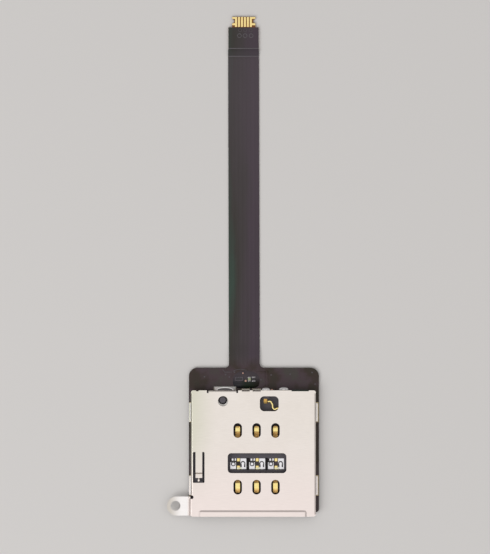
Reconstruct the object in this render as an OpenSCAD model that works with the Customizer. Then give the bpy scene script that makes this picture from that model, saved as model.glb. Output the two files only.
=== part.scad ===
// Card tray reader on a flex circuit.
// It lies on its stiffeners: X across, Y along the tail, Z up. The origin is on
// the underside of the stiffener, below the middle of the cover. Millimetres.

/* [Flex circuit] */
// Thickness of the film
film_t = 0.15; // [0.10:0.01:0.25]
// Left edge of the board area
board_left = -8.70; // [-9.5:0.05:-8.6]
// Right edge of the board area
board_right = 8.85; // [8.6:0.05:9.5]
// Front edge of the board area
board_front = -7.98; // [-8.5:0.02:-7.5]
// Rear edge of the board area
board_rear = 11.51; // [10.5:0.01:13]
// Corner radius at the rear of the board
board_r = 1.15; // [0.3:0.05:2]
// Width of the tail
tail_w = 4.16; // [3:0.02:6]
// Middle of the tail where it leaves the board
tail_x = -1.22; // [-3:0.01:3]
// Middle of the tail at its head
head_x = -1.33; // [-3:0.01:3]
// Where the coverlay ends on the head
head_end = 57.46; // [40:0.02:80]
// Width of the bare end
tip_w = 3.16; // [2.5:0.02:4]
// Where the film ends
tip_end = 58.9; // [41:0.1:82]
// Radius of the two locating notches
notch_r = 0.30; // [0.2:0.02:0.6]

/* [Stiffeners] */
// Thickness of the stiffener under the board
board_stiffener_t = 0.20; // [0.1:0.05:0.5]
// Thickness of the stiffener under the head
end_stiffener_t = 0.15; // [0.1:0.05:0.3]
// Where the stiffener under the head begins
end_stiffener_y = 54.5; // [50:0.1:56]

/* [Edge fingers] */
// Number of contact fingers
finger_count = 6; // [2:1:12]
// Distance between fingers
finger_pitch = 0.40; // [0.3:0.05:0.8]
// Width of a finger
finger_w = 0.26; // [0.15:0.01:0.5]
// Thickness of the plated copper
finger_t = 0.03; // [0.02:0.01:0.06]

/* [Cover] */
// Sheet thickness
sheet_t = 0.15; // [0.1:0.01:0.25]
// Width over the side walls
cover_w = 16.8; // [14:0.1:20]
// Length from the mouth to the rear edge
cover_l = 17.0; // [14:0.1:20]
// Height of the underside of the roof over the film
roof_h = 1.15; // [0.9:0.01:1.6]
// Width of a contact window
window_w = 1.15; // [0.8:0.05:1.5]
// Length of a contact window
window_l = 1.98; // [1.2:0.02:3]
// How far the mouth lip stands up
lip_rise = 0.12; // [0:0.01:0.2]

/* [Fixing ear] */
// Middle of the round end of the ear
ear_centre = [-10.35, -7.10];
// Radius of the round end
ear_r = 1.28; // [1:0.02:2]
// Middle of the hole
ear_hole = [-10.50, -7.06];
// Radius of the hole
ear_hole_r = 0.665; // [0.4:0.005:1]
// How far the ear is joggled down
ear_drop = 0.45; // [0:0.05:0.8]

/* [Contacts] */
// Distance between the columns
column_pitch = 2.54; // [2:0.01:3]
// Middle column
column_x = 0.43; // [-1:0.01:1]
// Middle of the windows of the rear row
rear_row_y = 3.10; // [2:0.01:4]
// Distance between the rows
row_pitch = 7.62; // [6:0.01:9]
// Thickness of the contact strip
contact_t = 0.08; // [0.05:0.01:0.12]
// Width of the spring arm
contact_w = 0.62; // [0.4:0.02:0.9]
// Width of the solder tail
contact_tail_w = 0.36; // [0.2:0.02:0.5]
// How far the solder tail is set beside the arm
contact_tail_shift = 0.09; // [-0.1:0.01:0.1]
// Thickness of the card switch's spring
blade_t = 0.15; // [0.08:0.01:0.18]

/* [Carrier] */
// Thickness of the moulded floor
floor_t = 0.35; // [0.25:0.01:0.5]
// Width of the moulding
carrier_w = 16.24; // [14:0.02:18]
// Front of the moulding
carrier_front = -8.10; // [-8.5:0.05:-7]
// Rear of the moulding
carrier_rear = 8.24; // [7:0.01:8.5]

/* [Ejector] */
// Middle of the lever's post
post_at = [-4.13, 7.20];
// Radius of the post
post_r = 0.54; // [0.4:0.01:0.8]
// Clearance round the post
post_clearance = 0.03; // [0.01:0.01:0.08]
// End of the lever that the rod pushes
lever_left = [-7.60, 6.50];
// End of the lever that pushes the tray out
lever_right = [-0.50, 6.35];
// Thickness of the lever
lever_t = 0.25; // [0.15:0.01:0.35]

/* [Hidden] */
$fn = 64;
e = 0.05;
film_top = board_stiffener_t + film_t;
floor_top = film_top + floor_t;
roof_under = film_top + roof_h;
roof_mid = roof_under + sheet_t / 2;
roof_top = roof_under + sheet_t;
side_x = cover_w / 2;
wall_x = side_x - sheet_t / 2;
front_y = -cover_l / 2;
rear_y = cover_l / 2;
bend_r = 0.175;
columns = [column_x - column_pitch, column_x, column_x + column_pitch];
front_row_y = rear_row_y - row_pitch;
tip_x = -1.30;
solder_pad_t = 0.03;
foot_z = film_top + solder_pad_t + sheet_t / 2;
lever_z = floor_top + 0.25;
side_feet = [[4.32, 6.70], [-5.60, -3.15]];
rear_tabs = [[-1.55, -0.50], [-0.12, 1.00]];
rear_steps = [[-7.72, -7.38], [5.13, 7.46]];
flange_x = [-6.03, -2.30];
flange_foot_x = [-5.28, -2.40];
panel_shift = 0.08;
panel_y = -1.45;
panel_w = 2.24;
panel_h = 1.50;
notch_y = 58.31;
finger_from = 57.53;
blade_x = 4.07;
terminal_x = [1.40, 1.90];
dome_at = [-0.97, 10.00];
capacitor_at = [-0.54, 10.00];
capacitor = [0.36, 0.62, 0.47];
resistor_at = [-1.94, 10.03];
resistor = [1.06, 0.50, 0.42];
test_point_at = [[-1.41, 10.79], [-1.04, 9.75], [0.02, 10.24], [0.07, 9.75]];
test_point_r = [0.11, 0.14, 0.12, 0.12];
test_point_h = [0.33, 0.46, 0.44, 0.44];

// Lays a drawing of Y and Z along X, from x0 to x1.
module along_x(x0, x1) {
    translate([x0, 0, 0])
        rotate([90, 0, 90])
            linear_extrude(x1 - x0)
                children();
}

// Lays a drawing of X and Z along Y, from y0 to y1.
module along_y(y0, y1) {
    translate([0, y1, 0])
        rotate([90, 0, 0])
            linear_extrude(y1 - y0)
                children();
}

// A plan drawing raised from z0 to z1.
module upright(z0, z1) {
    translate([0, 0, z0])
        linear_extrude(z1 - z0)
            children();
}

// A rectangle between two corners.
module area(p, q) {
    translate(p)
        square(q - p);
}

// A rectangle with round ends, its middle at p.
module obround(p, w, l) {
    translate([p[0] - w / 2, p[1] - (l - w) / 2])
        square([w, l - w]);
    for (s = [-1, 1])
        translate([p[0], p[1] + s * (l - w) / 2])
            circle(d = w);
}

// What a corner at p loses when it is rounded, with the plate towards dx, dy.
module rounding(p, dx, dy, r) {
    difference() {
        translate(p + [dx, dy] * (r - e) / 2)
            square(r + e, center = true);
        translate(p + [dx, dy] * r)
            circle(r);
    }
}

// A rectangle between two corners, all four rounded.
module rounded_area(p, q, r) {
    difference() {
        area(p, q);
        rounding(p, 1, 1, r);
        rounding([q[0], p[1]], -1, 1, r);
        rounding(q, -1, -1, r);
        rounding([p[0], q[1]], 1, -1, r);
    }
}

function heading(p, q) = (q - p) / norm(q - p);
function side_of(u) = [-u[1], u[0]];
function turn(u, v) = atan2(u[0] * v[1] - u[1] * v[0], u * v);
function into(p, i) = heading(p[max(i, 1) - 1], p[max(i, 1)]);
function out_of(p, i) = heading(p[min(i, len(p) - 2)], p[min(i, len(p) - 2) + 1]);

// The corner that the face at distance d from the line p has at its point i.
function corner(p, i, d) =
    let (m = side_of(into(p, i)) + side_of(out_of(p, i)))
    p[i] + m * 2 * d / (m * m);

// A sheet of thickness t and width w that stands on edge and follows the points
// p. The bend at each inner point has the mean radius that r lists; 0 leaves a
// slight bend sharp.
module bent_sheet(p, t, r, w) {
    last = len(p) - 1;
    difference() {
        union() {
            linear_extrude(w)
                polygon(concat([for (i = [0 : last]) corner(p, i, t / 2)],
                               [for (i = [last : -1 : 0]) corner(p, i, -t / 2)]));
            for (i = [1 : last - 1])
                if (r[i - 1] > 0)
                    linear_extrude(w)
                        bend_inside(p[i], into(p, i), out_of(p, i), t, r[i - 1]);
        }
        for (i = [1 : last - 1])
            if (r[i - 1] > 0)
                upright(-1, w + 1)
                    bend_outside(p[i], into(p, i), out_of(p, i), t, r[i - 1]);
    }
}

// A bent sheet drawn in Y and Z that runs from x0 to x1.
module sheet_along_x(x0, x1, p, t, r) {
    translate([x0, 0, 0])
        rotate([90, 0, 90])
            bent_sheet(p, t, r, x1 - x0);
}

// A bent sheet drawn in X and Z that runs from y0 to y1.
module sheet_along_y(y0, y1, p, t, r) {
    translate([0, y1, 0])
        rotate([90, 0, 0])
            bent_sheet(p, t, r, y1 - y0);
}

// The middle of a bend from the direction u to v.
function bend_centre(p, u, v, r) =
    p - u * r * tan(abs(turn(u, v)) / 2) + side_of(u) * sign(turn(u, v)) * r;

// The web that the inside of a bend adds to the sharp corner.
module bend_inside(p, u, v, t, r) {
    centre = bend_centre(p, u, v, r);
    back = r * tan(abs(turn(u, v)) / 2);
    difference() {
        polygon([centre, p - u * back, p, p + v * back]);
        translate(centre)
            circle(r - t / 2);
    }
}

// What the outside of a bend loses from the sharp corner.
module bend_outside(p, u, v, t, r) {
    centre = bend_centre(p, u, v, r);
    a = -side_of(u) * sign(turn(u, v));
    b = -side_of(v) * sign(turn(u, v));
    near = (r + t / 2) * 1.05;
    far = near / cos(turn(u, v) / 2);
    difference() {
        polygon([
            centre, centre + a * near, centre + heading([0, 0], a + b) * far, centre + b * near
        ]);
        translate(centre)
            circle(r + t / 2);
    }
}

// The board area in plan.
module board_outline() {
    difference() {
        area([board_left, board_front], [board_right, board_rear]);
        rounding([board_left, board_rear], 1, -1, board_r);
        rounding([board_right, board_rear], -1, -1, board_r);
        rounding([board_left, board_front], 1, 1, 0.4);
        rounding([board_right, board_front], -1, 1, 0.4);
    }
}

// The head and its bare end in plan, from y0 on.
module head_outline(y0) {
    difference() {
        union() {
            area([head_x - tail_w / 2 + 0.04, y0], [head_x + tail_w / 2 - 0.04, head_end]);
            area([tip_x - tip_w / 2, head_end - e], [tip_x + tip_w / 2, tip_end]);
        }
        for (s = [-1, 1])
            translate([tip_x + s * tip_w / 2, notch_y])
                circle(notch_r);
    }
}

// The whole film in plan: board, tail with filleted roots, and head.
module film_outline() {
    board_outline();
    polygon([
        [tail_x - tail_w / 2, board_rear - 1], [tail_x + tail_w / 2, board_rear - 1],
        [head_x + tail_w / 2, end_stiffener_y], [head_x - tail_w / 2, end_stiffener_y]
    ]);
    rounding([tail_x - tail_w / 2, board_rear], -1, 1, 0.5);
    rounding([tail_x + tail_w / 2, board_rear], 1, 1, 0.6);
    head_outline(end_stiffener_y - e);
}

// The film from the side: down from the board to the table, and up onto the head.
module film_profile() {
    high = board_stiffener_t + film_t / 2;
    low = film_t / 2;
    head = end_stiffener_t + film_t / 2;
    sheet_along_x(-12, 12, [
        [board_front - 1, high], [13.15, high], [14.65, low],
        [53.75, low], [54.25, head], [tip_end + 1, head]
    ], film_t, [10, 10, 1.3, 1.3]);
}

module flex_circuit() {
    color([0.20, 0.16, 0.18])
        difference() {
            union() {
                intersection() {
                    upright(-1, 2)
                        film_outline();
                    film_profile();
                }
                for (x = [-1.88, -1.12, -0.30])
                    translate([x, 56.35, end_stiffener_t + film_t - 0.02])
                        cylinder(r = 0.34, h = 0.04);
            }
            for (x = [-1.88, -1.12, -0.30])
                translate([x, 56.35, end_stiffener_t + film_t - 0.01])
                    cylinder(r = 0.20, h = 0.1);
            upright(end_stiffener_t + film_t - finger_t, 1)
                area([head_x - 3, head_end], [head_x + 3, tip_end + 1]);
        }
}

module board_stiffener() {
    color([0.12, 0.12, 0.11])
        upright(0, board_stiffener_t)
            board_outline();
}

module end_stiffener() {
    color([0.36, 0.24, 0.10])
        upright(0, end_stiffener_t)
            head_outline(end_stiffener_y);
}

// Six plated fingers; the outer two spread round the locating notches.
module edge_fingers() {
    first = tip_x - 0.04 - (finger_count - 1) * finger_pitch / 2;
    last = first + (finger_count - 1) * finger_pitch;
    z = end_stiffener_t + film_t - finger_t;
    color([0.90, 0.72, 0.36])
        upright(z, z + finger_t)
            difference() {
                union() {
                    for (i = [0 : finger_count - 1])
                        area([first + i * finger_pitch - finger_w / 2, finger_from],
                             [first + i * finger_pitch + finger_w / 2, 58.86]);
                    for (y = [[57.76, 58.03], [58.62, 58.86]]) {
                        area([tip_x - tip_w / 2 + 0.02, y[0]], [first, y[1]]);
                        area([last, y[0]], [tip_x + tip_w / 2 - 0.02, y[1]]);
                    }
                }
                for (s = [-1, 1])
                    translate([tip_x + s * tip_w / 2, notch_y])
                        circle(notch_r + 0.02);
            }
}

// The moulded floor: a lead-in at the mouth, slots for the spring arms, and
// openings over the solder tails, joined by grooves below.
module carrier_floor() {
    difference() {
        along_x(-carrier_w / 2, carrier_w / 2)
            polygon([
                [carrier_front, film_top], [carrier_rear, film_top], [carrier_rear, floor_top],
                [carrier_front + 0.25, floor_top], [carrier_front, floor_top - 0.15]
            ]);
        for (x = columns) {
            upright(film_top - e, floor_top + e)
                area([x - 0.5, 0.10], [x + 0.5, 4.15]);
            upright(film_top - e, floor_top + e)
                area([x - 0.5, -5.75], [x + 0.5, -2.68]);
            upright(film_top - e, floor_top + e)
                area([x + panel_shift - panel_w / 2, panel_y - panel_h / 2],
                     [x + panel_shift + panel_w / 2, panel_y + panel_h / 2]);
            upright(film_top - e, film_top + 0.25)
                area([x - 0.25, -2.8], [x + 0.43, 0.2]);
        }
        upright(floor_top - 0.08, floor_top + e)
            rounded_area([1.20, 5.80], [3.20, 7.60], 0.2);
    }
}

// Guides of the tray and of the rod, the rear wall with its notches, the bridge
// over the fixed contact, and the post.
module carrier_walls() {
    half = carrier_w / 2;
    upright(floor_top - e, roof_under)
        polygon([
            [7.35, carrier_front + 0.6], [7.60, carrier_front], [half, carrier_front],
            [half, carrier_rear], [7.35, carrier_rear]
        ]);
    difference() {
        upright(floor_top - e, roof_under)
            polygon([
                [-7.28, carrier_front], [-7.05, carrier_front], [-6.80, carrier_front + 0.6],
                [-6.80, 5.5], [-7.28, 5.5]
            ]);
        upright(floor_top + 0.2, roof_under + e)
            area([-7.5, -3.75], [-6.5, -2.20]);
    }
    upright(floor_top - e, floor_top + 0.5)
        area([-half, carrier_front], [-8.07, carrier_rear]);
    difference() {
        upright(floor_top - e, roof_under)
            area([-half, carrier_rear - 0.20], [half, carrier_rear]);
        upright(floor_top, roof_under + e)
            area([blade_x - 0.16, carrier_rear - 1], [blade_x + 0.16, carrier_rear + e]);
    }
    upright(floor_top - 0.1, floor_top + 0.25)
        area([terminal_x[0] - 0.25, 7.34], [terminal_x[1] + 0.25, 7.90]);
    translate([post_at[0], post_at[1], floor_top - e]) {
        cylinder(r = 0.80, h = lever_z - floor_top + e - 0.02);
        cylinder(r = post_r, h = roof_under - floor_top + e - 0.10);
        translate([0, 0, roof_under - floor_top + e - 0.10])
            cylinder(r1 = post_r, r2 = post_r - 0.06, h = 0.06);
    }
}

module contact_carrier() {
    color([0.07, 0.07, 0.07])
        difference() {
            union() {
                carrier_floor();
                carrier_walls();
            }
            upright(floor_top - 0.08, floor_top + 0.10)
                area([terminal_x[0] - 0.04, 6.60], [terminal_x[1] + 0.04, carrier_rear + e]);
        }
}

// The cover's flat sheet in plan. Side walls hang between its ends.
module roof_outline() {
    inner = side_x - bend_r - sheet_t / 2;
    difference() {
        union() {
            area([-inner, front_y], [inner, rear_y]);
            area([-side_x, rear_y - 0.4], [side_x, rear_y]);
            area([-inner, front_y], [side_x, front_y + 0.3]);
            area([-side_x + 0.07, front_y], [0, -5.65]);
        }
        rounding([-side_x, rear_y], 1, -1, 0.3);
        rounding([side_x, rear_y], -1, -1, 0.3);
        rounding([side_x, front_y], -1, 1, 0.35);
        rounding([-side_x + 0.07, front_y], 1, 1, 0.15);
        area([flange_x[0], rear_y - 0.25], [flange_x[1], rear_y + e]);
        for (t = rear_tabs)
            area([t[0], rear_y - 0.25], [t[1], rear_y + e]);
        for (x = rear_steps)
            area([x[0], rear_y - 0.12], [x[1], rear_y + e]);
    }
}

// Everything that is pierced through the roof.
module roof_openings() {
    for (x = columns) {
        obround([x, rear_row_y], window_w, window_l);
        obround([x, front_row_y], window_w, window_l);
    }
    rounded_area([-3.46, -2.64], [4.44, 0.05], 0.5);
    rounded_area([0.87, 5.69], [3.40, 7.71], 0.6);
    translate([-4.09, 7.05])
        circle(0.68);
    rounded_area([-8.14, -3.94], [-6.58, 0.20], 0.12);
    for (x = [-6.15, -2.18])
        area([x - 0.115, 8.14], [x + 0.115, rear_y + e]);
    translate([-8.30, -5.88])
        circle(0.24);
    area([-9, -6.12], [-8.30, -5.64]);
}

// A side wall with its run over the roof, from y0 to y1; way is its side.
module side_wall(way, y0, y1) {
    sheet_along_y(y0, y1,
                  [[0, roof_mid], [way * wall_x, roof_mid], [way * wall_x, film_top + 0.12]],
                  sheet_t, [bend_r]);
}

// A solder foot: the wall turns outwards onto its pad.
module side_foot(way, y0, y1) {
    sheet_along_y(y0, y1,
                  [[way * wall_x, roof_under - 0.2], [way * wall_x, foot_z], [way * (side_x + 0.28), foot_z]],
                  sheet_t, [0.12]);
}

// A tab that folds down from the roof's rear edge and turns out onto its pad.
module rear_foot(x0, x1, y) {
    fold_y = rear_y - sheet_t / 2;
    sheet_along_x(x0, x1,
                  [[rear_y - 0.4, roof_mid], [fold_y, roof_mid], [fold_y, foot_z], [y, foot_z]],
                  sheet_t, [bend_r, 0.12]);
}

// The raised lip of the mouth, a block with three sloping sides, its base at z.
module lip_block(z, front) {
    slope = 0.24;
    intersection() {
        along_x(-8, 8)
            polygon([[front, z - e], [-7.64, z - e], [-7.64, z], [-7.64 - slope, z + lip_rise],
                     [front, z + lip_rise]]);
        along_y(front, -7)
            polygon([[-7.38, z - e], [7.18, z - e], [7.18, z], [7.18 - slope, z + lip_rise],
                     [-7.38 + slope, z + lip_rise], [-7.38, z]]);
        upright(z - 1, z + 1)
            difference() {
                area([-7.38, front - 1], [7.18, -7.64]);
                rounding([-7.38, -7.64], 1, -1, 0.4);
                rounding([7.18, -7.64], -1, -1, 0.4);
            }
    }
}

// The fixing ear: it leaves the roof's edge, joggles down and ends round.
module ear() {
    intersection() {
        sheet_along_y(ear_centre[1] - ear_r, ear_centre[1] + ear_r,
                      [[-8.0, roof_mid], [-8.42, roof_mid], [-8.68, roof_mid - ear_drop],
                       [-12, roof_mid - ear_drop]], sheet_t, [0.14, 0.14]);
        upright(0, 2)
            union() {
                translate(ear_centre)
                    circle(ear_r);
                area([ear_centre[0], ear_centre[1] - ear_r], [0, ear_centre[1] + ear_r]);
            }
    }
}

// One stamping: roof, side walls with feet, rear flange, ear, tray spring and lip.
module cover_shell() {
    color([0.88, 0.87, 0.85]) {
        difference() {
            union() {
                upright(roof_under, roof_top)
                    roof_outline();
                side_wall(-1, -5.65, rear_y - 0.4);
                side_wall(1, front_y + 0.3, rear_y - 0.4);
                for (y = side_feet)
                    for (way = [-1, 1])
                        side_foot(way, y[0], y[1]);
                ear();
                lip_block(roof_top, front_y);
            }
            upright(roof_under - 0.2, roof_top + e)
                roof_openings();
            lip_block(roof_under, front_y - 0.3);
            translate([ear_hole[0], ear_hole[1], 0])
                cylinder(r = ear_hole_r, h = 2);
        }
        sheet_along_x(flange_x[0], flange_x[1],
                      [[rear_y - 0.4, roof_mid], [rear_y - sheet_t / 2, roof_mid],
                       [rear_y - sheet_t / 2, film_top + 0.30]], sheet_t, [bend_r]);
        rear_foot(flange_foot_x[0], flange_foot_x[1], 8.94);
        for (t = rear_tabs)
            rear_foot(t[0], t[1], 8.66);
        sheet_along_x(-7.79, -6.89,
                      [[0.35, roof_mid], [-2.54, roof_mid], [-2.74, roof_mid - 0.28],
                       [-3.30, roof_mid - 0.28]], sheet_t, [0.12, 0.12]);
    }
}

// A contact in plan: narrow tail from y0 to y1, spring arm to y2 with a round tip.
module contact_plan(y0, y1, y2) {
    way = sign(y2 - y0);
    translate([contact_tail_shift, 0])
        area([-contact_tail_w / 2, min(y0, y1)], [contact_tail_w / 2, max(y0, y1)]);
    difference() {
        area([-contact_w / 2, min(y1 - way * e, y2)], [contact_w / 2, max(y1 - way * e, y2)]);
        rounding([-contact_w / 2, y2], 1, -way, 0.2);
        rounding([contact_w / 2, y2], -1, -way, 0.2);
    }
}

// A contact of the rear row. Its arm rises away from the centre window.
module contact_rear(x) {
    z = film_top + contact_t / 2;
    color([0.93, 0.74, 0.30])
        translate([x, 0, 0])
            intersection() {
                upright(0, 2)
                    contact_plan(-1.11, 0.25, 3.66);
                sheet_along_x(-1, 1, [
                    [-1.30, z], [-0.65, z], [2.45, z + 0.36],
                    [3.00, z + 0.77], [3.38, z + 0.77], [3.80, z + 0.57]
                ], contact_t, [0, 0.35, 0.25, 0.25]);
            }
}

// A contact of the front row, shorter and steeper, towards the mouth.
module contact_front(x) {
    z = film_top + contact_t / 2;
    color([0.93, 0.74, 0.30])
        translate([x, 0, 0])
            intersection() {
                upright(0, 2)
                    contact_plan(-1.72, -2.74, -5.32);
                sheet_along_x(-1, 1, [
                    [-1.50, z], [-2.17, z], [-3.48, z + 0.23],
                    [-4.02, z + 0.77], [-4.62, z + 0.77], [-5.45, z + 0.52]
                ], contact_t, [0, 0.28, 0.2, 0.6]);
            }
}

module contact_rear_left() {
    contact_rear(columns[0]);
}

module contact_rear_middle() {
    contact_rear(columns[1]);
}

module contact_rear_right() {
    contact_rear(columns[2]);
}

module contact_front_left() {
    contact_front(columns[0]);
}

module contact_front_middle() {
    contact_front(columns[1]);
}

module contact_front_right() {
    contact_front(columns[2]);
}

// The card switch's spring: a strip on its edge, with its tail at the rear.
module detect_blade() {
    color([0.88, 0.68, 0.28]) {
        translate([0, 0, floor_top + 0.15])
            bent_sheet([
                [1.94, 6.99], [2.32, 7.00], [2.56, 6.60], [2.60, 6.12], [2.85, 5.88],
                [3.15, 6.06], [3.75, 6.14], [blade_x, 6.55], [blade_x, 8.50]
            ], blade_t, [0.15, 0.3, 0.2, 0.15, 0.25, 0.25, 0.25], 0.40);
        upright(film_top + 0.02, floor_top + 0.55)
            area([blade_x - blade_t / 2, 8.36], [blade_x + blade_t / 2, 8.50]);
    }
}

// The card switch's fixed contact: a plate with an upright leaf, and its tail.
module detect_terminal() {
    mid = (terminal_x[0] + terminal_x[1]) / 2;
    color([0.88, 0.68, 0.28]) {
        sheet_along_x(terminal_x[0], terminal_x[1],
                      [[6.70, floor_top - 0.02], [8.42, floor_top - 0.02], [8.42, film_top]], 0.10, [0.08]);
        upright(floor_top - 0.02, floor_top + 0.5)
            area([mid, 6.75], [mid + 0.10, 7.30]);
    }
}

// The rod that the release pin pushes: low where it runs under the tray spring.
module eject_rod() {
    z = floor_top + 0.02;
    color([0.10, 0.10, 0.10])
        along_x(-7.98, -7.38)
            polygon([
                [-8.30, z], [6.16, z], [6.16, z + 0.53], [0.95, z + 0.53], [0.70, z + 0.30],
                [-4.90, z + 0.30], [-5.15, z + 0.58], [-8.20, z + 0.58], [-8.30, z + 0.48]
            ]);
}

// One arm of the lever in plan, tapering from the hub to a round end.
module lever_arm(p, r) {
    u = heading(post_at, p);
    n = side_of(u);
    polygon([post_at + n * 0.62, post_at - n * 0.62, p - n * r, p + n * r]);
    translate(p)
        circle(r);
}

module eject_lever() {
    color([0.78, 0.78, 0.77])
        upright(lever_z, lever_z + lever_t)
            difference() {
                union() {
                    translate(post_at)
                        circle(0.80);
                    lever_arm(lever_left, 0.30);
                    lever_arm(lever_right, 0.32);
                }
                translate(post_at)
                    circle(post_r + post_clearance);
            }
}

// Left halves of the pads in the centre window: a ring-shaped gap, open at the
// top, and two small lands above it.
module ground_pads_left() {
    ring = [-0.68, -0.03];
    color([0.78, 0.78, 0.80])
        for (x = columns)
            upright(film_top, film_top + 0.04)
                translate([x + panel_shift, panel_y]) {
                    difference() {
                        area([-1.08, -0.72], [-0.32, 0.20]);
                        translate(ring)
                            circle(0.31);
                    }
                    translate(ring)
                        circle(0.20);
                    area([-0.88, 0.42], [-0.66, 0.70]);
                    area([-0.48, 0.40], [-0.30, 0.72]);
                }
}

// Right halves, each with an arch-shaped gap.
module ground_pads_right() {
    color([0.78, 0.78, 0.80])
        for (x = columns)
            upright(film_top, film_top + 0.04)
                translate([x + panel_shift, panel_y]) {
                    difference() {
                        area([0.28, -0.72], [1.08, 0.72]);
                        translate([0.62, 0.04])
                            circle(0.32);
                        area([0.34, -0.46], [0.94, 0.04]);
                    }
                    translate([0.62, 0.02])
                        circle(0.20);
                    area([0.47, -0.73], [0.77, 0.02]);
                }
}

// Plated pads below the feet of the cover.
module shell_solder_pads() {
    grow = 0.12;
    color([0.86, 0.66, 0.34])
        upright(film_top, film_top + solder_pad_t) {
            for (y = side_feet) {
                area([board_left + 0.02, y[0] - grow], [-8.22, y[1] + grow]);
                area([8.22, y[0] - grow], [side_x + 0.36, y[1] + grow]);
            }
            area([flange_foot_x[0] - grow / 2, 8.35], [flange_foot_x[1] + grow / 2, 9.0]);
            for (t = rear_tabs)
                area([t[0] - 0.04, 8.35], [t[1] + 0.04, 8.70]);
        }
}

// A half-sunk bar of solder with round ends, from x0 to x1, behind y.
module solder_bead(x0, x1, y, r) {
    intersection() {
        translate([0, y - 0.06, film_top])
            union() {
                translate([x0 + r, 0, 0])
                    rotate([0, 90, 0])
                        cylinder(r = r, h = x1 - x0 - 2 * r);
                translate([x0 + r, 0, 0])
                    sphere(r);
                translate([x1 - r, 0, 0])
                    sphere(r);
            }
        upright(film_top, 2)
            area([x0 - 1, y], [x1 + 1, y + 1]);
    }
}

module switch_solder() {
    color([0.80, 0.80, 0.80]) {
        solder_bead(1.14, 2.14, 8.47, 0.42);
        solder_bead(3.43, 4.70, 8.53, 0.42);
    }
}

// A chip part, its middle at p.
module chip(p, size) {
    upright(film_top, film_top + size[2])
        area([p[0] - size[0] / 2, p[1] - size[1] / 2], [p[0] + size[0] / 2, p[1] + size[1] / 2]);
}

module chip_capacitor() {
    color([0.55, 0.62, 0.40])
        chip(capacitor_at, capacitor);
}

module chip_resistor() {
    color([0.13, 0.11, 0.12])
        chip(resistor_at, resistor);
}

// Bare copper pins that stand through the resin.
module test_points() {
    color([0.78, 0.52, 0.40])
        for (i = [0 : len(test_point_at) - 1])
            translate([test_point_at[i][0], test_point_at[i][1], film_top])
                cylinder(r = test_point_r[i], h = test_point_h[i]);
}

// The oval drop of resin over the small parts: a barrel-shaped top, cut by the film.
module resin_dome() {
    half_l = 1.83;
    half_w = 1.14;
    rise = 0.45;
    across = (half_w * half_w + rise * rise) / (2 * rise);
    along = (half_l * half_l + rise * rise) / (2 * rise);
    color([0.10, 0.08, 0.10])
        difference() {
            intersection() {
                translate([dome_at[0], dome_at[1], film_top + rise - across])
                    rotate([0, 90, 0])
                        rotate_extrude($fn = 180)
                            intersection() {
                                translate([across - along, 0])
                                    circle(along, $fn = 180);
                                area([0, -half_l - 0.2], [across + 1, half_l + 0.2]);
                            }
                upright(film_top, film_top + 1)
                    area(dome_at - [3, 2], dome_at + [3, 2]);
            }
            chip(capacitor_at, capacitor + [0, 0, 1]);
            chip(resistor_at, resistor + [0, 0, 1]);
            for (i = [0 : len(test_point_at) - 1])
                translate([test_point_at[i][0], test_point_at[i][1], film_top - e])
                    cylinder(r = test_point_r[i], h = 1);
        }
}

flex_circuit();
board_stiffener();
end_stiffener();
edge_fingers();
contact_carrier();
cover_shell();
contact_rear_left();
contact_rear_middle();
contact_rear_right();
contact_front_left();
contact_front_middle();
contact_front_right();
detect_blade();
detect_terminal();
eject_rod();
eject_lever();
ground_pads_left();
ground_pads_right();
shell_solder_pads();
switch_solder();
chip_capacitor();
chip_resistor();
test_points();
resin_dome();
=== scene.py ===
# %% [markdown]
# # A card tray reader on its flex circuit
# The reader is a flat steel box, 17 mm square, soldered to a dark film. Its long tail ends
# in six gold fingers. The measured solids come from the CAD model, which is loaded as a
# fixed frame, and everything that is added here sits on it.

# %% Load the frame
import math
import bmesh
import bpy
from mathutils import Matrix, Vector


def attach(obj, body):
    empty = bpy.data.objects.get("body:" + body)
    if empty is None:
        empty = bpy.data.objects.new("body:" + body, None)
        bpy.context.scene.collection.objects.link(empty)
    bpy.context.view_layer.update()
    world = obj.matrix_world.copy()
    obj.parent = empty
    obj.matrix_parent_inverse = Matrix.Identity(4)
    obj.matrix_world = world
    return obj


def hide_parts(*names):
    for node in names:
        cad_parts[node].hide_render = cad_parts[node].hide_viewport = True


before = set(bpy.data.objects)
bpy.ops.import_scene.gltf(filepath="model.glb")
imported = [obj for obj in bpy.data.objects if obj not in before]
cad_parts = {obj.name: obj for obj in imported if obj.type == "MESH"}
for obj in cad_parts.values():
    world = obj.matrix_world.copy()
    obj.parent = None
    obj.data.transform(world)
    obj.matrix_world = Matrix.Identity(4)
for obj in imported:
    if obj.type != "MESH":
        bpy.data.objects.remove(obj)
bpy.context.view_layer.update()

print("CAD nodes:", len(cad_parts))

# %% [markdown]
# ## Sizes
# Blender works in metres and the part is a few millimetres thick, so sizes are written in
# millimetres and multiplied once. The heights below are those of the film's upper side:
# it is stiffened under the board and under the head, and its tail lies on the table.

# %% Sizes that the pieces share
MM = 0.001
BOARD_TOP = 0.35
TAIL_TOP = 0.15
HEAD_TOP = 0.30
PAD_TOP = 0.38
print("board, tail and head tops in mm:", BOARD_TOP, TAIL_TOP, HEAD_TOP)

# %% [markdown]
# ## The camera
# The picture looks straight down from far away, so the sides of the cover do not show. A
# long lens, high above, gives that flat view. The part's long side runs up the frame.

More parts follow.
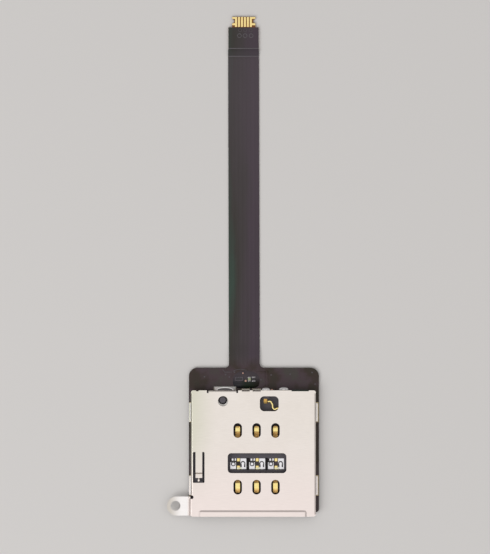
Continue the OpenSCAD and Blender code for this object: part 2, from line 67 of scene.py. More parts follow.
# %% Camera
LENS_MM = 200.0
SENSOR_MM = 36.0
VIEW_HEIGHT_MM = 74.56
view_middle = Vector((-1.13, 23.76, 1.65)) * MM
distance = VIEW_HEIGHT_MM * MM * LENS_MM / SENSOR_MM
camera = bpy.data.objects.new("camera", bpy.data.cameras.new("camera"))
bpy.context.scene.collection.objects.link(camera)
camera.data.lens = LENS_MM
camera.data.sensor_width = SENSOR_MM
camera.data.clip_start = 0.01
camera.data.clip_end = 20.0
camera.location = view_middle + Vector((0, 0, distance))
bpy.context.scene.camera = camera
bpy.context.scene.view_settings.view_transform = "Standard"
print("camera height in m:", round(camera.location.z, 3))

# %% [markdown]
# ## Helpers for materials
# A colour is written as the sRGB hex value that the eye reads, and the shader needs it in
# linear light. One small function adds a node with its settings and its links, so a
# material reads as a list of what feeds what. A link that names a node means that node's
# first active output. Another helper fades a colour into others, one zone after another.

# %% Colour and node helpers
def linear(hexcode):
    """An sRGB hex colour in linear light."""
    parts = [int(hexcode[i:i + 2], 16) / 255 for i in (1, 3, 5)]
    return (*(c / 12.92 if c <= 0.04045 else ((c + 0.055) / 1.055) ** 2.4 for c in parts), 1.0)


def link(tree, source, target):
    """Links a socket, or a node's first active output, to the target socket."""
    if hasattr(source, "outputs"):
        source = next(socket for socket in source.outputs if socket.enabled)
    tree.links.new(source, target)


def add(tree, kind, settings=None, links=None, stops=()):
    """Adds a shader node, sets its properties, inputs and colour stops, and links its inputs.

    A stop is a place from 0 to 1 with a hex colour or a plain amount.
    """
    made = tree.nodes.new("ShaderNode" + kind)
    for key, value in (settings or {}).items():
        if isinstance(key, str) and hasattr(made, key):
            setattr(made, key, value)
        else:
            made.inputs[key].default_value = value
    for key, source in (links or {}).items():
        link(tree, source, made.inputs[key])
    for stop in stops[1:-1]:
        made.color_ramp.elements.new(stop[0])
    for element, (place, colour) in zip(made.color_ramp.elements if stops else (), stops):
        element.color = linear(colour) if isinstance(colour, str) else (colour, colour, colour, 1.0)
    return made


def wire(tree, **sources):
    """Links sources to the shader's inputs of the same names, with _ for a space."""
    for name, source in sources.items():
        link(tree, source, tree.nodes["Principled BSDF"].inputs[name.replace("_", " ")])


def new_material(name, hexcode, metallic=0.0, roughness=0.5, mirror=0.5):
    """A material with its constants, its nodes, and the place that patterns follow."""
    material = bpy.data.materials.new(name)
    material.use_nodes = True
    tree = material.node_tree
    sockets = tree.nodes["Principled BSDF"].inputs
    sockets["Base Color"].default_value = linear(hexcode)
    sockets["Metallic"].default_value = metallic
    sockets["Roughness"].default_value = roughness
    sockets["Specular IOR Level"].default_value = mirror
    return material, tree, add(tree, "TexCoord").outputs["Object"]


def tint(tree, tone, axes, zones, curve="SMOOTHSTEP"):
    """Fades a colour into others.

    A zone is an axis, the two places in mm between which the new colour comes up, how much
    of it comes, and its hex value.
    """
    for axis, start, full, amount, colour in zones:
        zone = add(tree, "MapRange", {"From Min": start * MM, "From Max": full * MM, "To Max": amount,
                                      "interpolation_type": curve}, {"Value": axes.outputs[axis]})
        tone = add(tree, "Mix", {"data_type": "RGBA", 7: linear(colour)}, {0: zone, 6: tone})
    return tone


print("steel in linear light:", [round(c, 3) for c in linear("#E4DCD5")])

# %% [markdown]
# ## Light and floor
# The steel cover lies flat and mirrors what is straight above it, so the sky above has to
# be plain and bright, and darker towards the horizon, most of all behind the tail. That is
# what draws the bends, the raised lip and the window edges as darker lines. One large soft
# lamp, low on the left in front, throws the shadows to the right and rearwards. The floor
# is a plain pale sheet.

# %% World
ZENITH = (0.0, -0.17, 0.985)
world = bpy.data.worlds.new("studio")
bpy.context.scene.world = world
world.use_nodes = True
sky = world.node_tree
direction = add(sky, "TexCoord")
height = add(sky, "VectorMath", {"operation": "DOT_PRODUCT", 1: ZENITH}, {0: direction.outputs["Generated"]})
ramp = add(sky, "ValToRGB", links={"Fac": height.outputs["Value"]}, stops=(
    (0.0, "#7F7E80"), (0.01, "#7F7E80"), (0.25, "#8C8A8B"), (0.45, "#A8A6A6"), (0.60, "#C6C4C3"),
    (0.78, "#E5E3E2"), (0.90, "#F4F3F2"), (1.0, "#FAF9F9")))
link(sky, ramp, sky.nodes["Background"].inputs["Color"])
print("sky stops:", [round(stop.position, 2) for stop in ramp.color_ramp.elements])

# %% Lamp
LAMP_PLACE = Vector((-0.26, -0.20, 0.36))
LAMP_AIM = Vector((0, 0.01, 0))
lamp = bpy.data.objects.new("soft_lamp", bpy.data.lights.new("soft_lamp", "AREA"))
bpy.context.scene.collection.objects.link(lamp)
lamp.data.size = 0.30
lamp.data.energy = 0.72
lamp.location = LAMP_PLACE
lamp.rotation_euler = (LAMP_AIM - LAMP_PLACE).to_track_quat("-Z", "Y").to_euler()
print("lamp energy in W:", lamp.data.energy)

# %% Floor
FLOOR_SIZE = 4.0
FLOOR_Z = -0.00002
bpy.ops.object.select_all(action="DESELECT")
bpy.ops.mesh.primitive_plane_add(size=FLOOR_SIZE, location=(0, 0, FLOOR_Z))
floor = bpy.context.active_object
floor.name = "floor"
paper = new_material("pale_paper", "#DCDAD8", roughness=0.9)[0]
floor.data.materials.append(paper)
print("floor:", floor.name)

# %% [markdown]
# ## Rolled stainless steel
# The cover is stamped from bright rolled strip. The rolls leave very fine lines along the
# strip, which soften the gloss, and handling and soldering heat leave faint green and
# pink tints. The ear is painted lighter beside its fold and greyer towards its end: a
# painted highlight and painted shade for how light falls along it. Behind the rear wall a
# film of flux dulls the tabs that are soldered down there. Real lines are a few
# micrometres apart, so they are drawn coarser, at 0.07 mm, to show at all in a close view.

# %% Rolled stainless steel
stainless, tree, at = new_material("rolled_stainless_steel", "#EDE6DF", 1.0, 0.30)
axes = add(tree, "SeparateXYZ", links={"Vector": at})
along = add(tree, "Mapping", {"Scale": (900.0, 14000.0, 14000.0)}, {"Vector": at})
lines = add(tree, "TexNoise", {"Scale": 1.0, "Detail": 3.0, "Roughness": 0.6}, {"Vector": along})
cloud = add(tree, "TexNoise", {"Scale": 330.0, "Detail": 4.0, "Roughness": 0.62}, {"Vector": at})
tone = add(tree, "Mix", {"data_type": "RGBA", 6: linear("#E9E1D8"), 7: linear("#F3ECE6")}, {0: cloud})
# The third zone is a painted highlight on the ear beside its fold, and the fourth is painted shade towards
# its end.
tone = tint(tree, tone, axes, (
    ("X", -4.5, -9.5, 1.0, "#DAD9C6"), ("Y", 4.0, -8.0, 1.0, "#F4E8E3"),
    ("X", -8.6, -9.0, 1.0, "#FCF8F6"), ("X", -9.6, -11.4, 1.0, "#D2CCC3")))
tone = tint(tree, tone, axes, [("Y", 8.48, 8.60, 0.85, "#6F6F62")], "LINEAR")
fine = add(tree, "MapRange", {"From Min": 0.3, "From Max": 0.7, "To Min": 0.94}, {"Value": lines})
shade = add(tree, "Mix", {"data_type": "RGBA", "blend_type": "MULTIPLY", 0: 1.0}, {6: tone, 7: fine})
gloss = add(tree, "MapRange", {"To Min": 0.24, "To Max": 0.36}, {"Value": cloud})
relief = add(tree, "Bump", {"Strength": 0.25, "Distance": 0.000004}, {"Height": lines})
wire(tree, Base_Color=shade, Roughness=gloss, Normal=relief)
print("material:", stainless.name)

# %% [markdown]
# ## Stamped lever steel
# The lever is plain strip, blanked and tumbled. It is greyer and duller than the cover,
# with a fine speckle all over. Many finishes here are of this kind: one grain, whose size
# is given in millimetres, drives the colour, the roughness and a slight relief.

# %% Stamped lever steel
def speckled(name, dark, light, rough_low, rough_high, grain_mm, metallic=0.0, pattern=None,
             bump=(0.25, 0.000005), grain_scale=None, mirror=0.5):
    """A finish whose grain drives its colour, its roughness and its relief.

    pattern holds more settings of the noise, bump is a strength and a height in metres, and
    grain_scale below 1 lengthens the grain along that axis.
    """
    material, tree, at = new_material(name, light, metallic, rough_low, mirror)
    if grain_scale:
        at = add(tree, "Mapping", {"Scale": grain_scale}, {"Vector": at})
    grain = add(tree, "TexNoise", {"Scale": 1000.0 / grain_mm, "Detail": 3.0, **(pattern or {})},
                {"Vector": at})
    tone = add(tree, "Mix", {"data_type": "RGBA", 6: linear(dark), 7: linear(light)}, {0: grain})
    gloss = add(tree, "MapRange", {"To Min": rough_low, "To Max": rough_high}, {"Value": grain})
    wire(tree, Base_Color=tone, Roughness=gloss)
    if bump:
        relief = add(tree, "Bump", {"Strength": bump[0], "Distance": bump[1]}, {"Height": grain})
        wire(tree, Normal=relief)
    return material


lever_steel = speckled("tumbled_lever_steel", "#D2CFCB", "#F0EDE9", 0.34, 0.55, 1 / 6, 1.0,
                       bump=(0.3, 0.000004))
print("material:", lever_steel.name)

# %% [markdown]
# ## Black polyimide coverlay
# The film is polyimide with a black coverlay pressed on it. The press leaves it satin,
# with a fine grain. Its black is thin and lets the film below tint it: in patches of
# purple, brown and olive 3 mm across on the board, and in long soft bands on the tail,
# brown on the left, purple on the right and paler towards the head. Where the film is
# cut, its amber core shows as a thin line, and past the coverlay's end it is bare amber.
# Between the two creases below the head the film is painted darker: painted shade on its step between tail
# and head.

# %% Black polyimide coverlay
COVERLAY_END = 57.46
SHADE_BAND_MIDDLE, SHADE_BAND_HALF = 54.10, 0.48
coverlay, tree, at = new_material("black_polyimide_coverlay", "#33292B", 0.0, 0.42, 0.3)
axes = add(tree, "SeparateXYZ", links={"Vector": at})
x, y = axes.outputs["X"], axes.outputs["Y"]
cloud = add(tree, "TexNoise", {"Scale": 290.0, "Detail": 3.0, "Roughness": 0.55}, {"Vector": at})
board = add(tree, "ValToRGB", links={"Fac": cloud}, stops=(
    (0.0, "#29261D"), (0.36, "#2E281D"), (0.45, "#33261F"), (0.55, "#423338"), (0.66, "#3F3A36"),
    (1.0, "#433D3B")))
along = add(tree, "Mapping", {"Scale": (420.0, 60.0, 420.0)}, {"Vector": at})
streak = add(tree, "TexNoise", {"Scale": 1.0, "Detail": 3.0, "Roughness": 0.6}, {"Vector": along})
across = add(tree, "MapRange", {"From Min": -0.0036, "From Max": 0.0010, "To Min": -0.45, "To Max": 0.55},
             {"Value": x})
drift = add(tree, "Math", {"operation": "MULTIPLY_ADD", 1: 0.9}, {0: streak, 2: across})
tail = add(tree, "ValToRGB", links={"Fac": drift}, stops=(
    (0.0, "#31443A"), (0.22, "#35312D"), (0.45, "#3D3638"), (0.75, "#443842"), (1.0, "#41363F")))
along_tail = add(tree, "MapRange", {"From Min": 0.030, "From Max": 0.0545}, {"Value": y})
paler = add(tree, "ValToRGB", links={"Fac": along_tail}, stops=(
    (0.0, 0.0), (0.75, 0.45), (0.94, 0.45), (1.0, 0.0)))
tail = add(tree, "Mix", {"data_type": "RGBA", 7: linear("#50474E")}, {0: paler, 6: tail})
# Painted shade: the film is darkened on its step between the creases.
step_shade_band = add(tree, "Math", {"operation": "COMPARE", 1: SHADE_BAND_MIDDLE * MM, 2: SHADE_BAND_HALF * MM}, {0: y})
tail = add(tree, "Mix", {"data_type": "RGBA", "blend_type": "MULTIPLY", 7: (0.74, 0.74, 0.76, 1.0)},
           {0: step_shade_band, 6: tail})
onto_tail = add(tree, "MapRange", {
    "From Min": 0.0112, "From Max": 0.0135, "interpolation_type": "SMOOTHSTEP"}, {"Value": y})
tone = add(tree, "Mix", {"data_type": "RGBA"}, {0: onto_tail, 6: board, 7: tail})
facing = add(tree, "SeparateXYZ", links={"Vector": at.node.outputs["Normal"]})
upward = add(tree, "Math", {"operation": "ABSOLUTE"}, {0: facing.outputs["Z"]})
side = add(tree, "MapRange", {"From Min": 0.6, "From Max": 0.3, "To Max": 0.6}, {"Value": upward})
tone = add(tree, "Mix", {"data_type": "RGBA", 7: linear("#5C3A1C")}, {0: side, 6: tone})
bare = add(tree, "Math", {"operation": "GREATER_THAN", 1: COVERLAY_END * MM}, {0: y})
tone = add(tree, "Mix", {"data_type": "RGBA", 7: linear("#7A4A1E")}, {0: bare, 6: tone})
grain = add(tree, "TexNoise", {"Scale": 9000.0, "Detail": 2.0}, {"Vector": at})
gloss = add(tree, "MapRange", {"To Min": 0.34, "To Max": 0.52}, {"Value": cloud})
relief = add(tree, "Bump", {"Strength": 0.35, "Distance": 0.000006}, {"Height": grain})
wire(tree, Base_Color=tone, Roughness=gloss, Normal=relief)
print("material:", coverlay.name)

# %% [markdown]
# ## Stiffeners
# Under the board is a plate of glass cloth in black epoxy: its threads, 0.5 mm apart,
# show as a faint check. Under the head is a thin plate of clear amber polyimide.

# %% Glass-epoxy laminate and amber polyimide
laminate, tree, at = new_material("black_glass_epoxy", "#1F1F1D", 0.0, 0.5)
threads = add(tree, "TexBrick", {
    "offset": 0.5, "Scale": 1000.0, "Color1": linear("#1C1C1A"), "Color2": linear("#2A2A26"),
    "Mortar": linear("#141413"), "Mortar Size": 0.02, "Brick Width": 0.5, "Row Height": 0.5,
}, {"Vector": at})
relief = add(tree, "Bump", {"Strength": 0.4, "Distance": 0.00001}, {"Height": threads.outputs["Fac"]})
wire(tree, Base_Color=threads, Normal=relief)
amber_film = speckled("amber_polyimide", "#6E421A", "#8A5626", 0.22, 0.4, 1 / 0.9, bump=None)
print("materials:", laminate.name, amber_film.name)

# %% [markdown]
# ## Gold plate
# Contacts and fingers are copper alloy with a thin hard gold plate. The gold follows the
# strip's own rolling lines. On the contacts it is pale on the crests and on the solder
# tails. The flanks between are matt, so that they scatter light more than they mirror it,
# and painted a deeper orange: painted shade for slopes that turn away from the light. The
# card switch's fixed terminal is browner, darker and olive towards its foot, with painted
# shadow along its right edge.

# %% Gold plate
def gold_plate(name, dark, light, roughness, flank_shade=None, zones=()):
    """Gold from dark to light; flank_shade is an orange of painted shade for the middle heights, from z 0.55
    to 1.15 mm, which are also dulled.
    """
    material, tree, at = new_material(name, light, 1.0, roughness)
    axes = add(tree, "SeparateXYZ", links={"Vector": at})
    cloud = add(tree, "TexNoise", {"Scale": 2200.0, "Detail": 4.0, "Roughness": 0.6}, {"Vector": at})
    across = add(tree, "Mapping", {"Scale": (22000.0, 2500.0, 2500.0)}, {"Vector": at})
    lines = add(tree, "TexNoise", {"Scale": 1.0, "Detail": 2.0}, {"Vector": across})
    tone = add(tree, "Mix", {"data_type": "RGBA", 6: linear(dark), 7: linear(light)}, {0: cloud})
    gloss = add(tree, "MapRange", {"To Min": roughness - 0.07, "To Max": roughness + 0.10}, {"Value": lines})
    if flank_shade:
        level = add(tree, "MapRange", {"From Min": 0.0, "From Max": 0.0013}, {"Value": axes.outputs["Z"]})
        shaded_flanks = add(tree, "ValToRGB", links={"Fac": level}, stops=(
            (0.0, 0.0), (0.40, 0.0), (0.46, 1.0), (0.83, 1.0), (0.91, 0.0), (1.0, 0.0)))
        # Painted shade: the flanks take an orange tone.
        tone = add(tree, "Mix", {"data_type": "RGBA", 7: linear(flank_shade)}, {0: shaded_flanks, 6: tone})
        gloss = add(tree, "Math", {"operation": "MULTIPLY_ADD", 1: 0.32}, {0: shaded_flanks, 2: gloss})
        flank_metallic = add(tree, "Math", {"operation": "MULTIPLY_ADD", 1: -0.75, 2: 1.0}, {0: shaded_flanks})
        wire(tree, Metallic=flank_metallic)
    tone = tint(tree, tone, axes, zones, "LINEAR")
    relief = add(tree, "Bump", {"Strength": 0.2, "Distance": 0.000003}, {"Height": lines})
    wire(tree, Base_Color=tone, Roughness=gloss, Normal=relief)
    return material


# FFCE7C is the painted-shade orange of the contacts' flanks.
contact_gold = gold_plate("hard_gold_plate", "#FCDC86", "#FFF2AC", 0.24, "#FFCE7C")
pad_gold = gold_plate("immersion_gold", "#F8D68A", "#FFF0AC", 0.30)
# The terminal's gold is darker and olive towards its foot, and its right edge is painted shadow.
terminal_gold_and_shadow = gold_plate("heated_gold_plate", "#B07C38", "#FFDA84", 0.38, zones=(
    ("Y", 7.04, 6.82, 0.85, "#8A7442"), ("X", 1.77, 1.89, 0.75, "#5E3C26")))
print("materials:", contact_gold.name, pad_gold.name, terminal_gold_and_shadow.name)

# %% [markdown]
# ## Tin and solder
# Pads and joints are tin: whiter and softer in gloss than steel, with slight waves where
# it froze. A thin wash of it on steel goes grey, on worked feet it is dull, under resin
# it looks darker, and a film of yellow flux on it gives it a cream or greenish tint. On
# the wide rear foot the grey tin of the skirt and the dark tin of the crescent are painted
# shade in the fold.

# %% Tin and solder
def bright_tin(name, dark, light, roughness, wave_mm):
    """Tin whose waves, of the given length in mm, change its tone and its gloss."""
    return speckled(name, dark, light, roughness - 0.1, roughness + 0.12, wave_mm, 1.0, {"Roughness": 0.55},
                    (0.5, 0.00001))


tinned_copper = bright_tin("tinned_copper", "#DCDBDF", "#FCFBFC", 0.32, 0.25)
solder = bright_tin("frozen_solder", "#CDCBCB", "#F2F1F0", 0.28, 0.15)
grey_solder = bright_tin("grey_solder", "#8F8D8D", "#BDBBBA", 0.44, 0.15)
dull_solder = bright_tin("dull_solder", "#A8A2A2", "#CFC9C8", 0.40, 0.20)
dark_solder = bright_tin("resin_coated_solder", "#6A676A", "#A6A2A4", 0.30, 0.10)
fluxed_solder = bright_tin("flux_coated_solder", "#E4E2BE", "#FBF8DC", 0.30, 0.12)
print("materials:", tinned_copper.name, solder.name, grey_solder.name, dull_solder.name, dark_solder.name)

# %% [markdown]
# ## Black polymer
# The carrier and the rod are moulded liquid-crystal polymer with glass in it. It comes out
# of the mould dark grey and satin, with flow marks of a few tenths of a millimetre, longer
# across the part. A near-black version of it is painted shade: on the rim of the lever's
# post and on the webs between the window's openings.

# %% Moulded polymer, and polymer in painted shade
polymer = speckled("moulded_black_polymer", "#443F46", "#57535A", 0.4, 0.6, 1 / 3.6, 0.0,
                   {"Detail": 4.0, "Distortion": 0.4}, (0.35, 0.000008), (1 / 3, 1, 1))
# Near-black polymer: painted shade on the post's rim and on the webs.
polymer_in_painted_shade = speckled("greased_black_polymer", "#0D0A0A", "#201B1C", 0.2, 0.5, 1 / 2.6,
                           bump=None, mirror=0.15)
print("materials:", polymer.name, polymer_in_painted_shade.name)

# %% [markdown]
# ## Ceramic, copper and small finishes
# A capacitor is greenish ceramic with tinned ends, the other chip is dark glaze, and the
# test points are bare copper, a little oxidised. Solder resist is thin and black round the
# ground pads, and a thin strip at the cover's edge is dark green. Coverlay on raised
# ridges, vias and rings is painted lighter, a painted highlight, and lighter still on the
# creases. The dark chip's rim is painted lighter too, a painted highlight.

# %% Ceramic, copper and small finishes
green_ceramic = speckled("green_ceramic", "#7D8763", "#A5AE88", 0.35, 0.5, 0.05)
dark_ceramic = speckled("dark_glazed_ceramic", "#1E1A1E", "#2E282D", 0.2, 0.35, 0.05)
bare_copper = speckled("oxidised_copper", "#A68476", "#C8A194", 0.3, 0.5, 0.12, 1.0)
chip_rim_highlight = speckled("worn_glaze_rim", "#4C424C", "#736873", 0.3, 0.5, 0.1)
dark_green_finish = speckled("green_solder_resist", "#16241D", "#24382E", 0.25, 0.45, 0.3)
black_resist = speckled("black_solder_resist", "#2C2D2C", "#434345", 0.35, 0.5, 0.25)
# Both lighter coverlays are painted highlights on raised relief.
coverlay_highlight = speckled("rubbed_coverlay", "#3A3438", "#544C50", 0.4, 0.6, 0.2)
pressed_coverlay = speckled("pressed_coverlay", "#4A474B", "#635D62", 0.4, 0.6, 0.2)
print("materials:", green_ceramic.name, dark_ceramic.name, bare_copper.name, black_resist.name)

# %% [markdown]
# ## Cured resin
# The small parts on the board sit in a drop of smoke-coloured resin. Where it is thin,
# towards the tail, it is glossy and the film's colour shows through. Where it has run
# thick, towards the cover, it is almost black and duller from flux: bluish on the left,
# green in the middle, brown on the right. That near black is partly the thick resin and
# partly painted shade on the steep side towards the cover. The change follows Y in
# millimetres, with a little noise so that it isn't a ruled line.

# %% Cured resin
THIN_FROM, THICK_FROM, WAVER = 10.35, 9.35, 0.6
resin, tree, at = new_material("cured_smoke_resin", "#1A181A", 0.0, 0.12)
axes = add(tree, "SeparateXYZ", links={"Vector": at})
waves = add(tree, "TexNoise", {"Scale": 1100.0, "Detail": 3.0}, {"Vector": at})
wavy_y = add(tree, "Math", {"operation": "MULTIPLY_ADD", 1: WAVER * MM}, {0: waves, 2: axes.outputs["Y"]})
thin = add(tree, "MapRange", {
    "From Min": (THICK_FROM + WAVER / 2) * MM, "From Max": (THIN_FROM + WAVER / 2) * MM,
    "interpolation_type": "SMOOTHSTEP"}, {"Value": wavy_y})
across = add(tree, "MapRange", {"From Min": -0.0028, "From Max": 0.0008}, {"Value": axes.outputs["X"]})
thick_side_shade = add(tree, "ValToRGB", links={"Fac": across}, stops=(
    (0.0, "#25232A"), (0.25, "#242226"), (0.5, "#172215"), (0.7, "#172015"), (1.0, "#221B18")))
# Near black towards the cover: thick resin and painted shade together.
depth = add(tree, "Mix", {"data_type": "RGBA", 7: linear("#3D343A")}, {0: thin, 6: thick_side_shade})
gloss = add(tree, "MapRange", {"To Min": 0.42, "To Max": 0.12}, {"Value": thin})
mirror = add(tree, "MapRange", {"To Min": 0.15, "To Max": 0.5}, {"Value": thin})
relief = add(tree, "Bump", {"Strength": 0.2, "Distance": 0.00001}, {"Height": waves})
wire(tree, Base_Color=depth, Roughness=gloss, Specular_IOR_Level=mirror, Normal=relief)
print("material:", resin.name)

# %% [markdown]
# ## Finishes for the CAD solids
# Each CAD node keeps its mesh and gets its finish through its material slots.

# %% Dress the CAD nodes
finishes = {
    "flex_circuit": coverlay, "board_stiffener": laminate, "end_stiffener": amber_film,
    "edge_fingers": pad_gold, "contact_carrier": polymer, "cover_shell": stainless,
    "detect_blade": contact_gold, "detect_terminal": terminal_gold_and_shadow, "eject_rod": polymer,
    "eject_lever": lever_steel, "ground_pads_left": tinned_copper, "ground_pads_right": tinned_copper,
    "shell_solder_pads": pad_gold, "switch_solder": solder, "chip_capacitor": green_ceramic,
    "chip_resistor": dark_ceramic, "test_points": bare_copper, "resin_dome": resin,
}
for row in ("rear", "front"):
    for column in ("left", "middle", "right"):
        finishes[f"contact_{row}_{column}"] = contact_gold
for name, finish in finishes.items():
    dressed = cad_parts[name]
    dressed.data.materials.clear()
    dressed.data.materials.append(finish)
print("dressed nodes:", len(finishes))

# %% [markdown]
# ## Helpers for new pieces
# The CAD gives the measured forms. Solder, folds, tracks and chip parts are finer and are
# modelled here by hand: a primitive is put at its place, then cut, inset, extruded and
# bevelled. All sizes are in millimetres until they reach Blender. Blender's own merge and
# cut limits are made for larger things, so they are given far smaller values.

# %% Helpers that start a piece and select on it
def hold(piece):
    """Selects this object alone."""
    bpy.ops.object.select_all(action="DESELECT")
    piece.select_set(True)
    bpy.context.view_layer.objects.active = piece


def start_piece(name, kind, middle, **sizes):
    """Adds one mesh primitive with its middle in mm, and opens it in edit mode."""
    bpy.ops.object.select_all(action="DESELECT")
    getattr(bpy.ops.mesh, "primitive_" + kind + "_add")(location=Vector(middle) * MM, **sizes)
    piece = bpy.context.active_object
    piece.name = name
    bpy.ops.object.transform_apply(location=True, rotation=True, scale=True)
    bpy.ops.object.mode_set(mode="EDIT")
    return piece


def block(name, low, high):
    """A box between two corners in mm, in edit mode."""
    low, high = Vector(low), Vector(high)
    return start_piece(name, "cube", (low + high) / 2, size=MM, scale=high - low)


def choose(piece, what, test):
    """Selects the vertices, edges or faces whose place in mm and normal pass the test."""
    bpy.ops.mesh.select_mode(type=what[:-1].upper())
    bpy.ops.mesh.select_all(action="DESELECT")
    mesh = bmesh.from_edit_mesh(piece.data)
    found = 0
    for item in getattr(mesh, what):
        if what == "verts":
            place, normal = item.co, item.normal
        elif what == "edges":
            place = (item.verts[0].co + item.verts[1].co) / 2
            normal = (item.verts[1].co - item.verts[0].co).normalized()
        else:
            place, normal = item.calc_center_median(), item.normal
        if test(place / MM, normal):
            item.select_set(True)
            found += 1
    mesh.select_flush_mode()
    bmesh.update_edit_mesh(piece.data)
    return found


print("pieces start as a cube of", MM, "m, scaled to their size in mm")

# %% Helpers that shape and finish a piece
CUT_LIMIT, MERGE_LIMIT = 1e-7, 1e-6


def bevel(offset, segments, **more):
    """Rounds what is selected by the offset in mm."""
    bpy.ops.mesh.bevel(offset=offset * MM, segments=segments, clamp_overlap=True, **more)


def inset(thickness, depth=0):
    """Insets the selected faces by a thickness and a depth in mm."""
    bpy.ops.mesh.inset(thickness=thickness * MM, depth=depth * MM)


def slide(x, y, z):
    """Moves what is selected by the given mm."""
    bpy.ops.transform.translate(value=(x * MM, y * MM, z * MM))


def stretch(factors, about):
    """Scales what is selected about a point in mm."""
    bpy.ops.transform.resize(value=factors, center_override=Vector(about) * MM)


def cut(piece, place, normal, clear=False):
    """Cuts the mesh by a plane; clear removes what lies beyond it and closes the hole."""
    bpy.ops.mesh.select_all(action="SELECT")
    bpy.ops.mesh.bisect(plane_co=Vector(place) * MM, plane_no=normal, use_fill=clear,
                        clear_outer=clear, threshold=CUT_LIMIT)


def finish_piece(piece, finish, smooth_angle=50):
    """Closes the piece, points its faces outwards, and lets it ride the fixed body."""
    bpy.ops.mesh.select_all(action="SELECT")
    bpy.ops.mesh.remove_doubles(threshold=MERGE_LIMIT)
    bpy.ops.mesh.normals_make_consistent(inside=False)
    bpy.ops.object.mode_set(mode="OBJECT")
    hold(piece)
    bpy.ops.object.shade_smooth_by_angle(angle=math.radians(smooth_angle))
    if not piece.data.materials:
        piece.data.materials.append(finish)
    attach(piece, "reader")
    return piece


print("cut and merge limits in m:", CUT_LIMIT, MERGE_LIMIT)

# %% [markdown]
# ## Solder round the feet
# Each foot of the cover stands in solder on a gold pad. Molten tin climbs the steel and
# pulls itself into a hollow curve, so the joint is a low skirt with concave sides that
# leaves a narrow rim of gold free. A block is cut to the pad, and its top edges get a
# wide bevel with a hollow profile.

# %% Solder skirts
SKIRT_TOP = 0.515


def solder_skirt(name, low, high, reach, top, finish):
    """A skirt over the foot from low to high, reaching out by the given mm on each side."""
    west, south, east, north = reach
    piece = block(name, (low[0] - west, low[1] - south, PAD_TOP - 0.01),
                  (high[0] + east, high[1] + north, top))
    sides = [(axis, value) for axis, value, out in (
        (0, low[0] - west, west), (0, high[0] + east, east),
        (1, low[1] - south, south), (1, high[1] + north, north)) if out > 0]
    choose(piece, "edges", lambda p, n: abs(p.z - top) < 0.001 and any(
        abs(p[axis] - value) < 0.001 for axis, value in sides))
    bevel(min(out for out in reach if out > 0) * 0.98, 6, profile=0.12)
    finish_piece(piece, finish)


FOOT_ENDS = (("rear", 4.32, 6.70), ("front", -5.60, -3.15))
WALL_X = 8.40
for side, west, east, west_out, east_out, finish in (("left", -8.66, -WALL_X, 0.03, 0.0, solder),
                                                     ("right", WALL_X, 8.68, 0.0, 0.05, dull_solder)):
    for place, south, north in FOOT_ENDS:
        solder_skirt(f"solder_foot_{side}_{place}", (west, south), (east, north),
                     (west_out, 0.09, east_out, 0.09), SKIRT_TOP, finish)
# The wide rear foot's skirt is grey tin: painted shade under the rear fold.
solder_skirt("solder_flange", (-5.28, 8.50), (-2.40, 8.94), (0.055, 0, 0.055, 0.065), SKIRT_TOP, grey_solder)
for place, west, east in (("left", -1.55, -0.50), ("right", -0.12, 1.00)):
    solder_skirt(f"solder_tab_{place}", (west, 8.50), (east, 8.66), (0.035, 0.0, 0.035, 0.035),
                 SKIRT_TOP - 0.015, dark_solder)
print("skirts stand to z =", SKIRT_TOP, "mm")

# %% [markdown]
# ## Solder in the folds
# Where a foot turns out of the wall, the fold's inner corner fills with tin as well. Seen
# from above it shows as a dark hollow beside the bright foot. It is a thin bar in the
# corner whose free edge is bevelled hollow.

# %% Fillets in the folds
FOOT_TOP, FOLD_TOP = 0.53, 0.66


def fold_fillet(name, low, high, free_x):
    """A bar between two corners whose upper edge at free_x is hollowed out."""
    piece = block(name, low, high)
    choose(piece, "edges", lambda p, n: abs(p.x - free_x) < 0.001 and abs(p.z - high[2]) < 0.001)
    bevel((high[2] - low[2]) * 0.93, 7, profile=0.10)
    finish_piece(piece, solder)


for side, way in (("left", -1), ("right", 1)):
    free_x = way * (WALL_X + 0.13)
    west, east = sorted((way * WALL_X, free_x))
    for place, south, north in FOOT_ENDS:
        fold_fillet(f"solder_fold_{side}_{place}", (west, south + 0.05, FOOT_TOP),
                    (east, north - 0.05, FOLD_TOP), free_x)
print("fold fillets fill z =", FOOT_TOP, "to", FOLD_TOP, "mm")

# %% [markdown]
# ## Solder on the wide rear foot
# On the wide foot the tin froze in the corner as a crescent, with a bright arc round it.
# The crescent is a ramp that falls away from the wall; its dark tin is painted shade in
# the fold. It is cut into slices, and each slice is scaled about the corner so that the
# ramp swells in the middle. The arc is half of a raised band. Thin washes of duller tin
# cover the rest of the foot.

# %% Crescent, arc and washes
def raised_ring(name, middle, outer, width, rise, rounding):
    """An elliptical band in mm: a disc is inset, opened, raised and rounded on top."""
    piece = start_piece(name, "circle", middle, vertices=56, radius=MM, fill_type="NGON")
    bpy.ops.mesh.select_all(action="SELECT")
    stretch((outer[0], outer[1], 1), middle)
    choose(piece, "faces", lambda p, n: True)
    inset(width)
    bpy.ops.mesh.delete(type="FACE")
    bpy.ops.mesh.select_all(action="SELECT")
    bpy.ops.mesh.extrude_region_move(TRANSFORM_OT_translate={"value": (0, 0, rise * MM)})
    choose(piece, "faces", lambda p, n: abs(n.z) > 0.9 and p.z > middle[2] + rise * 0.5)
    bpy.ops.mesh.region_to_loop()
    bevel(rounding, 3)
    return piece


def slab(name, low, high, rounding, segments, finish, smooth_angle=50):
    """A thin block whose upper edges are rounded."""
    piece = block(name, low, high)
    choose(piece, "edges", lambda p, n: p.z > high[2] - 0.002)
    bevel(rounding, segments)
    return finish_piece(piece, finish, smooth_angle)


